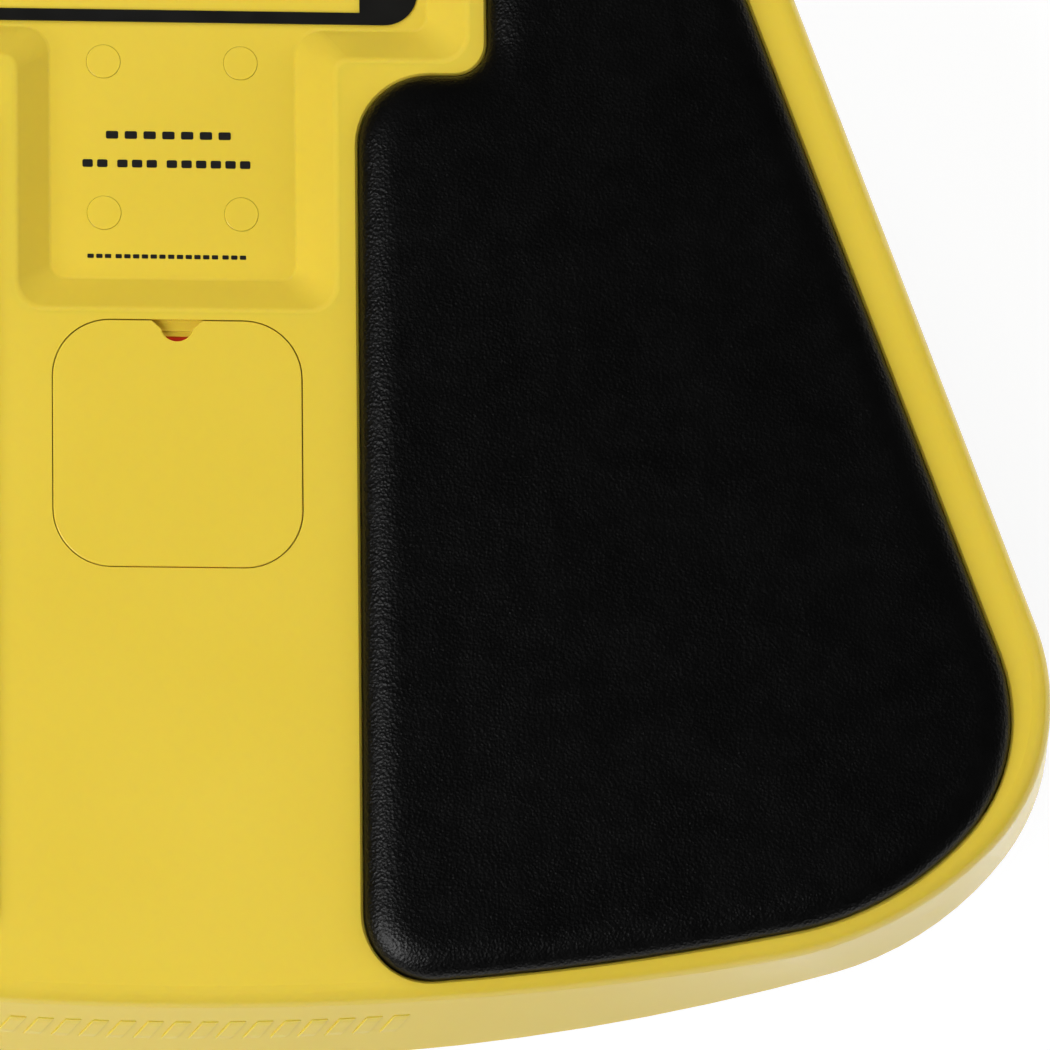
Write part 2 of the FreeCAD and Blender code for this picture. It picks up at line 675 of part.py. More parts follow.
def screw(radius, length, head_radius, head_height, x, y, head_z, up):
    """A round-headed screw: its head's inner face is at head_z, its shank goes up or down from it."""
    socket_share, round_share = screw_share
    if up:
        head = disc(head_radius, head_z - head_height, head_z, x, y)
        rim = edges_at(head, lambda px, py, pz: abs(pz - head_z + head_height) < 1e-3)
        shank = disc(radius, head_z, head_z + length, x, y)
        socket = moved(hexagon(head_radius, head_z - head_height - 1, head_z - head_height * socket_share),
                       x, y)
    else:
        head = disc(head_radius, head_z, head_z + head_height, x, y)
        rim = edges_at(head, lambda px, py, pz: abs(pz - head_z - head_height) < 1e-3)
        shank = disc(radius, head_z - length, head_z, x, y)
        socket = moved(hexagon(head_radius, head_z + head_height * socket_share, head_z + head_height + 1),
                       x, y)
    return head.makeFillet(head_height * round_share, rim).fuse(shank).removeSplitter().cut(socket)


def make_shell_screws():
    return Part.makeCompound([screw(shell_screw_radius, shell_screw_length, screw_head_radius,
                                    screw_head_height,
                                    x, y, floor_z + screw_head_sink, True) for x, y in post_places()])


def make_tray_screws():
    length = tray_screw_seat_z - floor_top_z - floor_wall + screw_tip_play
    return Part.makeCompound([screw(shell_screw_radius, length, tray_screw_head_radius,
                                    tray_screw_head_height,
                                    x, y, tray_screw_seat_z, False) for x, y in tray_screw_places()])


def make_tray_plugs():
    top = tray_z + plug_proud
    plugs = []
    for x, y in tray_screw_places():
        plug = disc(tray_plug_radius, tray_z - tray_plug_thickness, top, x, y)
        rim = edges_at(plug, lambda px, py, pz: abs(pz - top) < 1e-3)
        plugs.append(plug.makeFillet(plug_edge_round, rim))
    return Part.makeCompound(plugs)


# ---------------------------------------------------------------- swivel joint, drawn about X = Y = 0
def make_plate():
    plate = disc(plate_radius, flange_top_z, floor_z)
    cuts = [disc(pivot_bolt_radius + pivot_bolt_clearance, flange_top_z - 1, floor_z + 1)]
    for s in (1, -1):
        cuts.append(disc(locating_pin_radius + locating_pin_play, flange_top_z - 1, floor_z + 1,
                         s * locating_pin_x))
    for x, y in ring_points(plate_screw_pitch_radius, 8, plate_screw_start):
        cuts.append(disc(plate_screw_radius + screw_play, flange_top_z - 1, floor_z + 1, x, y))
    for x, y in ring_points(dome_screw_pitch_radius, 6, six_screw_start):
        cuts.append(disc(shell_screw_radius + screw_play, flange_top_z - 1, floor_z + 1, x, y))
    return plate.cut(cuts)


def make_plate_screws():
    head_radius, head_height = plate_screw_head
    return Part.makeCompound([screw(plate_screw_radius, plate_screw_length, head_radius, head_height,
                                    x, y, flange_top_z, True)
                              for x, y in ring_points(plate_screw_pitch_radius, 8, plate_screw_start)])


def make_dome_screws():
    head_z = flange_top_z - dome_flange_thickness
    return Part.makeCompound([screw(shell_screw_radius,
                                    dome_flange_thickness + plate_thickness - screw_tip_play,
                                    screw_head_radius, screw_head_height, x, y, head_z, True)
                              for x, y in ring_points(dome_screw_pitch_radius, 6, six_screw_start)])


def make_pivot_bolt():
    head_z = floor_top_z + well_wall + washer_thickness
    length = head_z - (flange_top_z - flange_thickness) + nut_height + bolt_tail
    head = hexagon(bolt_head_flats, head_z, head_z + bolt_head_height)
    wide, narrow = bolt_crown
    crown = Part.makeCone(bolt_head_flats / 2 + wide, bolt_head_flats / 2 - narrow, bolt_head_height + 0.01,
                          V(0, 0, head_z))
    shank = disc(pivot_bolt_radius, head_z - length, head_z + 1)
    return joined([head.common(crown), shank])


def make_pivot_nut():
    top = flange_top_z - flange_thickness
    nut = hexagon(nut_flats, top - nut_height, top)
    return nut.cut(disc(pivot_bolt_radius + thread_play, top - nut_height - 1, top + 1))


def make_pivot_washer():
    return tube(pivot_bolt_radius + pivot_bolt_clearance, washer_radius, floor_top_z + well_wall,
                floor_top_z + well_wall + washer_thickness)


def make_locating_pins():
    pins = []
    below, short = pin_recess
    for s in (1, -1):
        pin = disc(locating_pin_radius - press_gap, flange_top_z - flange_thickness + below,
                   floor_top_z - short,
                   s * locating_pin_x)
        ends = edges_at(pin, lambda x, y, z: z > floor_z)
        pins.append(pin.makeChamfer(locating_pin_chamfer,
                                    [e for e in ends if e.Length > 2 * locating_pin_radius]))
    return Part.makeCompound(pins)


def make_yoke(axis, up):
    """A yoke whose ears stand along the axis; up is True for the board's yoke, whose flange is on top."""
    s = 1 if up else -1
    face = pivot_z + s * flange_reach
    back = face + s * flange_thickness
    flange = disc(flange_radius, min(face, back), max(face, back))
    ears = []
    for side in (1, -1):
        lo, hi = sorted((side * ear_inner, side * ear_outer))
        z0, z1 = sorted((pivot_z, face + s))
        if axis == "x":
            ears.append(block(lo, hi, -ear_radius, ear_radius, z0, z1))
        else:
            ears.append(block(-ear_radius, ear_radius, lo, hi, z0, z1))
        ears.append(rod(ear_radius, lo, hi, axis))
    yoke = joined([flange] + ears)
    bores = [rod(bush_radius + press_gap, -ear_outer - 1, ear_outer + 1, axis)]
    return yoke, bores, face, back


def make_upper_yoke():
    yoke, cuts, face, back = make_yoke("x", True)
    cuts.append(disc(pivot_bolt_radius + pivot_bolt_clearance, face - 1, back + 1))
    for s in (1, -1):
        cuts.append(disc(locating_pin_radius, face + 1, back + 1, s * locating_pin_x))
    return yoke.cut(cuts)


def make_lower_yoke():
    yoke, cuts, face, back = make_yoke("y", False)
    posts = [disc(stop_post_radius, face - 1, stop_top() - stop_buffer_height, x, y)
             for x, y in ring_points(stop_pitch_radius, 4)]
    yoke = joined([yoke] + posts)
    cuts.append(disc(yoke_drain_radius, back - 1, face + 1))
    for x, y in ring_points(yoke_bolt_pitch_radius, 4, 45):
        cuts.append(disc(yoke_bolt_radius + through_play, back - 1, face + 1, x, y))
    stud_radius, stud_length = stop_stud
    for x, y in ring_points(stop_pitch_radius, 4):
        cuts.append(disc(stud_radius + press_gap, stop_top() - stop_buffer_height - stud_length - 1,
                         stop_top(), x, y))
    return yoke.cut(cuts)


def stop_top():
    """Height of the buffers, just short of the upper flange at full tilt."""
    reach = stop_pitch_radius + stop_buffer_radius
    tilt = math.radians(tilt_limit)
    return pivot_z + (flange_reach - math.sin(tilt) * reach) / math.cos(tilt) - stop_clearance


def make_stop_buffers():
    shapes = []
    foot = stop_top() - stop_buffer_height
    stud_radius, stud_length = stop_stud
    for x, y in ring_points(stop_pitch_radius, 4):
        pad = disc(stop_buffer_radius, foot, stop_top(), x, y)
        rim = edges_at(pad, lambda px, py, pz: abs(pz - stop_top()) < 1e-3)
        stud = disc(stud_radius, foot - stud_length, foot, x, y)
        shapes.append(pad.makeFillet(stop_buffer_round, rim).fuse(stud).removeSplitter())
    return Part.makeCompound(shapes)


def make_cross():
    low, high = pivot_z - cross_half_height, pivot_z + cross_half_height
    cross = block(-cross_half, cross_half, -cross_half, cross_half, low, high)
    upright = [e for e in cross.Edges if abs(e.Vertexes[0].Z - e.Vertexes[1].Z) > 1]
    cross = cross.makeFillet(cross_round, upright)
    cross = joined([cross, rod(trunnion_radius, -trunnion_tip, trunnion_tip, "x"),
                    rod(trunnion_radius, -trunnion_tip, trunnion_tip, "y")])
    grooves = []
    for axis in ("x", "y"):
        for lo in ring_spans():
            grooves.append(rod(trunnion_radius + 1, lo - ring_play / 2, lo + ring_thickness + ring_play / 2,
                               axis)
                           .cut(rod(ring_groove_radius, lo - 1, lo + ring_thickness + 1, axis)))
    return cross.cut(grooves)


def ring_spans():
    """Where each retaining ring starts along its trunnion, just outside the ears."""
    start = ear_outer + ring_play
    return (start, -start - ring_thickness)


def make_bushes(axis):
    bushes = []
    for side in (1, -1):
        lo, hi = sorted((side * ear_inner, side * ear_outer))
        body = rod(bush_radius, lo, hi, axis)
        lo, hi = sorted((side * ear_inner, side * (ear_inner - bush_collar)))
        collar = rod(bush_collar_radius, lo, hi, axis)
        bore = rod(trunnion_radius + running_fit, -ear_outer - 1, ear_outer + 1, axis)
        bushes.append(body.fuse(collar).removeSplitter().cut(bore))
    return Part.makeCompound(bushes)


def make_retaining_rings():
    rings = []
    for axis in ("x", "y"):
        for lo in ring_spans():
            ring = rod(ring_outer_radius, lo, lo + ring_thickness, axis)
            ring = ring.cut(rod(ring_groove_radius + running_fit, lo - 1, lo + ring_thickness + 1, axis))
            mouth = block(-ring_mouth_half, ring_mouth_half, lo - 1, lo + ring_thickness + 1,
                          pivot_z + trunnion_radius / 2, pivot_z + ring_outer_radius + 1)
            if axis == "x":
                mouth.rotate(V(0, 0, 0), V(0, 0, 1), -90)
            rings.append(ring.cut(mouth))
    return Part.makeCompound(rings)


# ---------------------------------------------------------------- dome and base, drawn about X = Y = 0
def make_swivel_dome():
    dome_shift = V(0, 0, pivot_z)
    ball = Part.makeSphere(dome_radius, dome_shift)
    hollow = Part.makeSphere(dome_radius - dome_wall, dome_shift)
    lower_z = pivot_z - dome_radius * math.sin(math.radians(dome_lower_angle))
    zone = disc(dome_radius + 5, lower_z, flange_top_z)
    dome = ball.common(zone).cut(hollow)
    flange_z = flange_top_z - dome_flange_thickness
    flange = ball.common(tube(dome_flange_inner, dome_radius + 5, flange_z, flange_top_z))
    dome = dome.fuse(flange).removeSplitter()
    holes = [disc(shell_screw_radius + through_play, flange_z - 1, flange_top_z + 1, x, y)
             for x, y in ring_points(dome_screw_pitch_radius, 6, six_screw_start)]
    return dome.cut(holes)


def collar_top():
    return pivot_z - collar_drop


def seal_inner():
    depth = collar_drop + 1.0
    return math.sqrt(dome_radius ** 2 - depth ** 2) + seal_clearance


def turned(points):
    """Revolve a closed outline of (radius, z) points and arcs about the Z axis."""
    edges = []
    for k in range(len(points) - 1):
        a, b = points[k], points[k + 1]
        if len(b) == 3:
            continue
        if len(a) == 3:
            p = points[k - 1]
            edges.append(arc(V(p[0], 0, p[1]), V(a[0], 0, a[1]), V(b[0], 0, b[1])))
        else:
            edges.append(line(V(a[0], 0, a[1]), V(b[0], 0, b[1])))
    face = Part.Face(Part.Wire(edges))
    return face.revolve(V(0, 0, 0), V(0, 0, 1), 360)


def make_base_cover():
    top = collar_top()
    lip = seal_inner() + seal_width
    sag_in, sag_down = base_sag
    edge_z = plate_top_z + base_edge_height
    shoulder_z = top - base_shoulder_drop
    sag_r = (base_radius + base_shoulder_radius) / 2 - sag_in
    sag_z = (edge_z + shoulder_z) / 2 - sag_down
    groove_z = top - 1 - seal_height
    outside = [(base_radius, plate_top_z), (base_radius, edge_z),
               (base_radius - base_edge_round, edge_z + base_edge_round),
               (sag_r, sag_z, 0), (base_shoulder_radius, shoulder_z), (lip + 2, top)]
    collar = [(lip - 1, top), (lip - 1, top - 1), (lip, top - 1), (lip, groove_z), (lip - 1, groove_z),
              (lip - 1, groove_z - 2), (lip + 1.5, groove_z - base_edge_round)]
    inside = [(base_shoulder_radius - base_wall, shoulder_z - 2),
              (sag_r - base_wall, sag_z - base_wall * 0.4, 0),
              (base_radius - base_edge_round - base_wall * 1.3, edge_z + 2),
              (base_radius - base_wall, edge_z - 2),
              (base_radius - base_wall, plate_top_z)]
    cover = turned(outside + collar + inside + outside[:1])
    solid = turned([(0, plate_top_z)] + outside + [(0, top), (0, plate_top_z)])
    posts = [disc(post_radius + 1, plate_top_z, plate_top_z + cover_post_height, x, y).common(solid)
             for x, y in ring_points(cover_screw_pitch_radius, 6)]
    cover = cover.fuse(posts).removeSplitter()
    holes = [disc(shell_screw_radius + screw_play, plate_top_z - 1, plate_top_z + cover_screw_grip + 1,
                  x, y)
             for x, y in ring_points(cover_screw_pitch_radius, 6)]
    return cover.cut(holes)


def make_dome_seal():
    top = collar_top() - 1
    inner = seal_inner()
    ring = tube(inner, inner + seal_width - press_gap, top - seal_height, top)
    lip = edges_at(ring, lambda x, y, z: abs(math.hypot(x, y) - inner) < 0.01)
    return ring.makeFillet(1.2, [e for e in lip if e.Length > 100])


def make_foot_ring():
    ring = tube(base_radius - foot_width, base_radius, 0, foot_height)
    lip = tube(base_radius - foot_lip + 0.05, base_radius, foot_height - 0.5, plate_top_z)
    foot = ring.fuse(lip).removeSplitter()
    bottom = [e for e in edges_at(foot, lambda x, y, z: abs(z) < 1e-3) if e.Length > 100]
    foot = foot.makeFillet(foot_round, bottom)
    grooves = [tube(base_radius - step, base_radius - step + foot_groove_width, -1, foot_groove_depth)
               for step in foot_groove_steps]
    return foot.cut(grooves)


def make_base_plate():
    plate = disc(base_radius - foot_lip, foot_height, plate_top_z)
    cuts = [disc(pedestal_screw_radius + through_play, foot_height - 1, plate_top_z + 1, x, y)
            for x, y in ring_points(pedestal_screw_pitch_radius, 6, six_screw_start)]
    cuts += [disc(shell_screw_radius + through_play, foot_height - 1, plate_top_z + 1, x, y)
             for x, y in ring_points(cover_screw_pitch_radius, 6)]
    return plate.cut(cuts)


def make_pedestal():
    top = pivot_z - flange_reach - flange_thickness
    flange_z = top - flange_thickness
    foot_top = plate_top_z + pedestal_foot_thickness
    solid = joined([disc(flange_radius, flange_z, top), disc(pedestal_column_radius, plate_top_z, top),
                    disc(pedestal_foot_radius, plate_top_z, foot_top)])
    hollow = disc(pedestal_column_radius - pedestal_column_wall, plate_top_z - 1, flange_z)
    cuts = [hollow]
    cuts += [disc(yoke_bolt_radius + running_fit, flange_z - 1, top + 1, x, y)
             for x, y in ring_points(yoke_bolt_pitch_radius, 4, 45)]
    cuts += [disc(pedestal_screw_radius + running_fit, plate_top_z - 1, foot_top + 1, x, y)
             for x, y in ring_points(pedestal_screw_pitch_radius, 6, six_screw_start)]
    return solid.cut(cuts)


def make_yoke_bolts():
    head_z = pivot_z - flange_reach
    head_radius, head_height = yoke_bolt_head
    return Part.makeCompound([screw(yoke_bolt_radius, 2 * flange_thickness - screw_tip_play, head_radius,
                                    head_height,
                                    x, y, head_z, False)
                              for x, y in ring_points(yoke_bolt_pitch_radius, 4, 45)])


def make_pedestal_screws():
    length = base_plate_thickness + pedestal_foot_thickness - 1
    head_radius, head_height = pedestal_screw_head
    return Part.makeCompound([screw(pedestal_screw_radius, length, head_radius, head_height, x, y,
                                    foot_height, True)
                              for x, y in ring_points(pedestal_screw_pitch_radius, 6, six_screw_start)])


def make_cover_screws():
    return Part.makeCompound([screw(shell_screw_radius, base_plate_thickness + cover_screw_grip,
                                    screw_head_radius,
                                    screw_head_height, x, y, foot_height, True)
                              for x, y in ring_points(cover_screw_pitch_radius, 6)])


# ---------------------------------------------------------------- write every piece
right_pad = make_pad()
whole_shell = make_whole_shell()
save("top_shell", whole_shell.cut(tray_room()))
save("tray_pan", whole_shell.common(tray_room()))
save("hatch_ledge", make_hatch_ledge(whole_shell))
save("bottom_shell", make_bottom_shell())
save("inner_frame", make_inner_frame())
save("right_pad", right_pad)
save("left_pad", mirrored(right_pad))
save("phone_mat", make_phone_mat())
save("hatch_cover", make_hatch_cover())
save("well_cup", make_well_cup())
save("shell_screws", make_shell_screws())
save("tray_screws", make_tray_screws())
save("tray_plugs", make_tray_plugs())

under_pivot = {
    "mounting_plate": make_plate(), "plate_screws": make_plate_screws(), "pivot_bolt": make_pivot_bolt(),
    "pivot_washer": make_pivot_washer(), "pivot_nut": make_pivot_nut(),
    "locating_pins": make_locating_pins(), "upper_yoke": make_upper_yoke(),
    "pitch_bushes": make_bushes("x"), "swivel_dome": make_swivel_dome(),
    "dome_screws": make_dome_screws(), "cross_trunnion": make_cross(),
    "retaining_rings": make_retaining_rings(),
    "lower_yoke": make_lower_yoke(), "roll_bushes": make_bushes("y"), "stop_buffers": make_stop_buffers(),
    "yoke_bolts": make_yoke_bolts(), "pedestal": make_pedestal(), "pedestal_screws": make_pedestal_screws(),
    "base_plate": make_base_plate(), "base_cover": make_base_cover(), "cover_screws": make_cover_screws(),
    "dome_seal": make_dome_seal(), "foot_ring": make_foot_ring(),
}
for name, shape in under_pivot.items():
    save(name, moved(shape, 0, hatch_centre_y))
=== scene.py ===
import math

import bmesh
import bpy
import numpy as np
from mathutils import Matrix, Vector, noise
from mathutils.bvhtree import BVHTree
from mathutils.geometry import delaunay_2d_cdt


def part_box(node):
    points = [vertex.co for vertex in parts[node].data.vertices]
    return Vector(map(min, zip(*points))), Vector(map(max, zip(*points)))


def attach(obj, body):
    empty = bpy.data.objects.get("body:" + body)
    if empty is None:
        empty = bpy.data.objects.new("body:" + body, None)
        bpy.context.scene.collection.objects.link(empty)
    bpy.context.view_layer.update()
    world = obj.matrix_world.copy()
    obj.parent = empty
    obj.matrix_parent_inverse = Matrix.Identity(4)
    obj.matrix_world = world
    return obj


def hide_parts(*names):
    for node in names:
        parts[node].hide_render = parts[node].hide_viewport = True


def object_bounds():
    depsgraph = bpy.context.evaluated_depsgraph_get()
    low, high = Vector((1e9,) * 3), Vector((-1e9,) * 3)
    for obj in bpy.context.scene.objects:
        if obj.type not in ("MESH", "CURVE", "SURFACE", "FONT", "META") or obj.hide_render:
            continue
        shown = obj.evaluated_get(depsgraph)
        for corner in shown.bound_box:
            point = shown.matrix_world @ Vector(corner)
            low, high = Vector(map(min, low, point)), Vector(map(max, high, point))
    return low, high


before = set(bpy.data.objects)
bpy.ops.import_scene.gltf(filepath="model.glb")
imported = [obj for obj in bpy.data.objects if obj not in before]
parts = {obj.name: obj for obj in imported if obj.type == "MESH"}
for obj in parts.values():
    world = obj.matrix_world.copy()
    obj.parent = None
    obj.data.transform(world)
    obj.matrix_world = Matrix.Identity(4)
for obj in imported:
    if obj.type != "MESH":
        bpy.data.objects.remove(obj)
cad_low, cad_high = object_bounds()


# ---------------------------------------------------------------- foot ring
# Soft black rubber ring that the whole board stands on, moulded with three grooves underneath.
# Its upper lip is stretched over the edge of the steel base plate, and nothing else holds it.
def finish(name, colour, roughness, metallic=0.0):
    """A new material: its node tree and its shader."""
    made = bpy.data.materials.new(name)
    made.use_nodes = True
    shader = made.node_tree.nodes["Principled BSDF"]
    shader.inputs["Base Color"].default_value = (*colour, 1)
    shader.inputs["Roughness"].default_value = roughness
    shader.inputs["Metallic"].default_value = metallic
    return made, made.node_tree, shader


def add(tree, kind, **values):
    """A shader node; each value goes to the socket of that name, or to the node's own setting."""
    made = tree.nodes.new("ShaderNode" + kind)
    for name, value in values.items():
        if name in made.inputs:
            made.inputs[name].default_value = value
        else:
            setattr(made, name, value)
    return made


def speckle(tree, size, detail=2.0, stretch=(1, 1, 1)):
    """Noise that is fixed to the piece, with blobs of one size in metres."""
    place = add(tree, "TexCoord")
    scaled = add(tree, "Mapping", Scale=stretch)
    blobs = add(tree, "TexNoise", Scale=1 / size, Detail=detail)
    tree.links.new(place.outputs["Object"], scaled.inputs["Vector"])
    tree.links.new(scaled.outputs["Vector"], blobs.inputs["Vector"])
    return blobs.outputs["Fac"]


def raise_grain(tree, shader, height, depth, under=None):
    """Turns a height into bumps of that depth in metres, on top of another grain if there is one."""
    bump = add(tree, "Bump", Distance=depth)
    tree.links.new(height, bump.inputs["Height"])
    if under:
        tree.links.new(under.outputs["Normal"], bump.inputs["Normal"])
    tree.links.new(bump.outputs["Normal"], shader.inputs["Normal"])
    return bump


def vary_colour(tree, shader, amount, dark, light):
    """Lets the colour wander between two shades."""
    ramp = add(tree, "ValToRGB")
    ramp.color_ramp.elements[0].position = 0.35
    ramp.color_ramp.elements[1].position = 0.65
    ramp.color_ramp.elements[0].color = (*dark, 1)
    ramp.color_ramp.elements[1].color = (*light, 1)
    tree.links.new(amount, ramp.inputs["Fac"])
    tree.links.new(ramp.outputs["Color"], shader.inputs["Base Color"])


def vary_gloss(tree, shader, amount, smooth, rough):
    """Lets the roughness wander between two values."""
    spread = add(tree, "MapRange")
    for name, value in (("From Min", 0.35), ("From Max", 0.65), ("To Min", smooth), ("To Max", rough)):
        spread.inputs[name].default_value = value
    tree.links.new(amount, spread.inputs["Value"])
    tree.links.new(spread.outputs["Result"], shader.inputs["Roughness"])


def coat(made, *names):
    """Gives one finish to CAD parts."""
    for name in names:
        parts[name].data.materials.clear()
        parts[name].data.materials.append(made)


foot_rubber, tree, shader = finish("foot_rubber", (0.012, 0.012, 0.012), 0.7)
vary_colour(tree, shader, speckle(tree, 0.02), (0.009, 0.009, 0.009), (0.018, 0.018, 0.017))
vary_gloss(tree, shader, speckle(tree, 0.006), 0.6, 0.82)
raise_grain(tree, shader, speckle(tree, 0.0007), 0.00006)
coat(foot_rubber, "foot_ring", "stop_buffers", "dome_seal")


# ---------------------------------------------------------------- base plate, pedestal and yokes
# The floor of the base is a laser-cut steel disc, powder coated black, bolted to a cast iron pedestal.
# The two yokes of the swivel are cast too; the skin keeps the sand's grain.
black_steel, tree, shader = finish("black_steel", (0.02, 0.02, 0.022), 0.45)
vary_gloss(tree, shader, speckle(tree, 0.015), 0.38, 0.52)
raise_grain(tree, shader, speckle(tree, 0.0012, detail=1.0), 0.00005)
coat(black_steel, "base_plate", "mounting_plate", "retaining_rings")

cast_iron, tree, shader = finish("cast_iron", (0.1, 0.1, 0.105), 0.55, metallic=0.7)
vary_colour(tree, shader, speckle(tree, 0.012, detail=4.0), (0.07, 0.07, 0.075), (0.14, 0.14, 0.145))
vary_gloss(tree, shader, speckle(tree, 0.004), 0.45, 0.68)
sand = raise_grain(tree, shader, speckle(tree, 0.003, detail=3.0), 0.0002)
raise_grain(tree, shader, speckle(tree, 0.0008), 0.00008, under=sand)
coat(cast_iron, "pedestal", "lower_yoke", "upper_yoke")


# ---------------------------------------------------------------- base cover and dome
# Black plastic mouldings with a fine spark-eroded texture, held by screws from underneath.
# The dome is part of a ball round the pivot, so the rubber wiper in the collar keeps touching it.
base_plastic, tree, shader = finish("base_plastic", (0.014, 0.014, 0.014), 0.5)
vary_colour(tree, shader, speckle(tree, 0.05), (0.012, 0.012, 0.012), (0.018, 0.018, 0.018))
vary_gloss(tree, shader, speckle(tree, 0.03), 0.42, 0.55)
pits = raise_grain(tree, shader, speckle(tree, 0.0009, detail=1.0), 0.00007)
raise_grain(tree, shader, speckle(tree, 0.00035), 0.00003, under=pits)
coat(base_plastic, "base_cover", "swivel_dome", "bottom_shell", "inner_frame")


# ---------------------------------------------------------------- trunnions, bushes, bolts and screws
# The cross and the pins are ground steel, with the wheel's marks running round them.
# The bushes are rubber bonded round the trunnions, and every screw is zinc plated.
ground_steel, tree, shader = finish("ground_steel", (0.56, 0.56, 0.57), 0.26, metallic=1.0)
vary_gloss(tree, shader, speckle(tree, 0.01), 0.2, 0.34)
raise_grain(tree, shader, speckle(tree, 0.0006, stretch=(1, 1, 12)), 0.00002)
coat(ground_steel, "cross_trunnion", "locating_pins")

zinc, tree, shader = finish("zinc", (0.6, 0.6, 0.61), 0.34, metallic=1.0)
vary_colour(tree, shader, speckle(tree, 0.004), (0.52, 0.52, 0.53), (0.66, 0.66, 0.66))
vary_gloss(tree, shader, speckle(tree, 0.0015), 0.27, 0.42)
raise_grain(tree, shader, speckle(tree, 0.0008), 0.00002)
coat(zinc, "pedestal_screws", "yoke_bolts", "cover_screws", "dome_screws", "plate_screws", "pivot_bolt",
     "pivot_washer", "pivot_nut", "shell_screws", "tray_screws")

bush_rubber, tree, shader = finish("bush_rubber", (0.02, 0.02, 0.021), 0.62)
vary_gloss(tree, shader, speckle(tree, 0.004), 0.55, 0.72)
raise_grain(tree, shader, speckle(tree, 0.0006), 0.00004)
coat(bush_rubber, "pitch_bushes", "roll_bushes")


# ---------------------------------------------------------------- top shell, tray and their lids
# The deck, its rolled rim and the drop-in phone tray are injection moulded in one gloss yellow plastic,
# which lets a little light into its skin. The mould's polish leaves a faint orange peel.
# The hatch, the ring it lies on and the tray's plugs match; the cup of the bolt well is red, with a faint
# painted glow that stands in for light in the shade under the hatch.
deck_yellow, tree, shader = finish("deck_yellow", (0.76, 0.57, 0.062), 0.2)
shader.inputs["Specular IOR Level"].default_value = 0.45
shader.inputs["Subsurface Weight"].default_value = 0.3
shader.inputs["Subsurface Radius"].default_value = (1.0, 0.6, 0.1)
shader.inputs["Subsurface Scale"].default_value = 0.0015
vary_colour(tree, shader, speckle(tree, 0.12), (0.75, 0.56, 0.058), (0.772, 0.58, 0.066))
vary_gloss(tree, shader, speckle(tree, 0.03), 0.17, 0.24)
peel = raise_grain(tree, shader, speckle(tree, 0.009, detail=1.0), 0.000012)
raise_grain(tree, shader, speckle(tree, 0.0014), 0.000004, under=peel)
coat(deck_yellow, "top_shell", "tray_pan", "tray_plugs", "hatch_cover", "hatch_ledge")

well_red_painted_glow, tree, shader = finish("well_red_painted_glow", (0.62, 0.05, 0.015), 0.3)
shader.inputs["Subsurface Weight"].default_value = 0.2
shader.inputs["Subsurface Scale"].default_value = 0.002
# Painted glow: a weak red emission lightens the cup where it lies in shade under the hatch; the cup is no
# lamp.
shader.inputs["Emission Color"].default_value = (0.62, 0.045, 0.015, 1)
shader.inputs["Emission Strength"].default_value = 0.3
vary_gloss(tree, shader, speckle(tree, 0.01), 0.26, 0.36)
raise_grain(tree, shader, speckle(tree, 0.004), 0.00001)
coat(well_red_painted_glow, "well_cup")


# ---------------------------------------------------------------- raised band on the front
# A row of slanted bars stands half a millimetre proud of the sloping front, moulded with the shell.
# Each bar follows the front's curve, and its foot is buried in the wall.
band_half = 0.072
band_bars = 17
bar_width = 0.0052
bar_slant = 0.004
bar_height = 0.0105
bar_proud = 0.0005
bar_end_share = 0.55         # of the full height, at a bar's two ends
bar_buried = 0.0004
ray_start = 0.05             # how far in front of the shell each foot is looked for
band_below_deck = 0.0185
deck_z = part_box("top_shell")[1].z
front_surface = BVHTree.FromPolygons([v.co.copy() for v in parts["top_shell"].data.vertices],
                                     [tuple(p.vertices) for p in parts["top_shell"].data.polygons])


def on_front(x, z):
    """The point of the shell's front face at this place across and up, and the way it faces."""
    start = Vector((x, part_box("top_shell")[0].y - ray_start, z))
    point, facing, _, _ = front_surface.ray_cast(start, Vector((0, 1, 0)))
    return point, (facing if facing.y < 0 else -facing)


def raised_bar(work, middle_x, steps=5):
    """One slanted bar: a curved face, four sides and a buried back."""
    rows = []
    for k in range(steps + 1):
        z = deck_z - band_below_deck - bar_height / 2 + bar_height * k / steps
        lean = bar_slant * (k / steps - 0.5)
        row = []
        for side in (-0.5, 0.5):
            point, facing = on_front(middle_x + lean + side * bar_width, z)
            outward = bar_proud if 0 < k < steps else bar_proud * bar_end_share
            row.append((work.verts.new(point + facing * outward),
                        work.verts.new(point - facing * bar_buried)))
        rows.append(row)
    for (a, b), (c, d) in zip(rows, rows[1:]):
        work.faces.new((a[0], b[0], d[0], c[0]))
        work.faces.new((a[1], c[1], d[1], b[1]))
        work.faces.new((a[0], c[0], c[1], a[1]))
        work.faces.new((b[0], b[1], d[1], d[0]))
    for row in (rows[0], rows[-1]):
        work.faces.new((row[0][0], row[0][1], row[1][1], row[1][0]))


def new_piece(name, work, made, body):
    """Turns finished mesh work into a piece that moves with a body."""
    bmesh.ops.recalc_face_normals(work, faces=work.faces)
    mesh = bpy.data.meshes.new(name)
    work.to_mesh(mesh)
    work.free()
    mesh.materials.append(made)
    piece = bpy.data.objects.new(name, mesh)
    bpy.context.scene.collection.objects.link(piece)
    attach(piece, body)
    return piece


work = bmesh.new()
for k in range(band_bars):
    raised_bar(work, band_half * (2 * k / (band_bars - 1) - 1))
front_band = new_piece("front_band", work, deck_yellow, "board")
edge_softening = front_band.modifiers.new("edge_softening", "BEVEL")
edge_softening.width = 0.00018
edge_softening.segments = 2


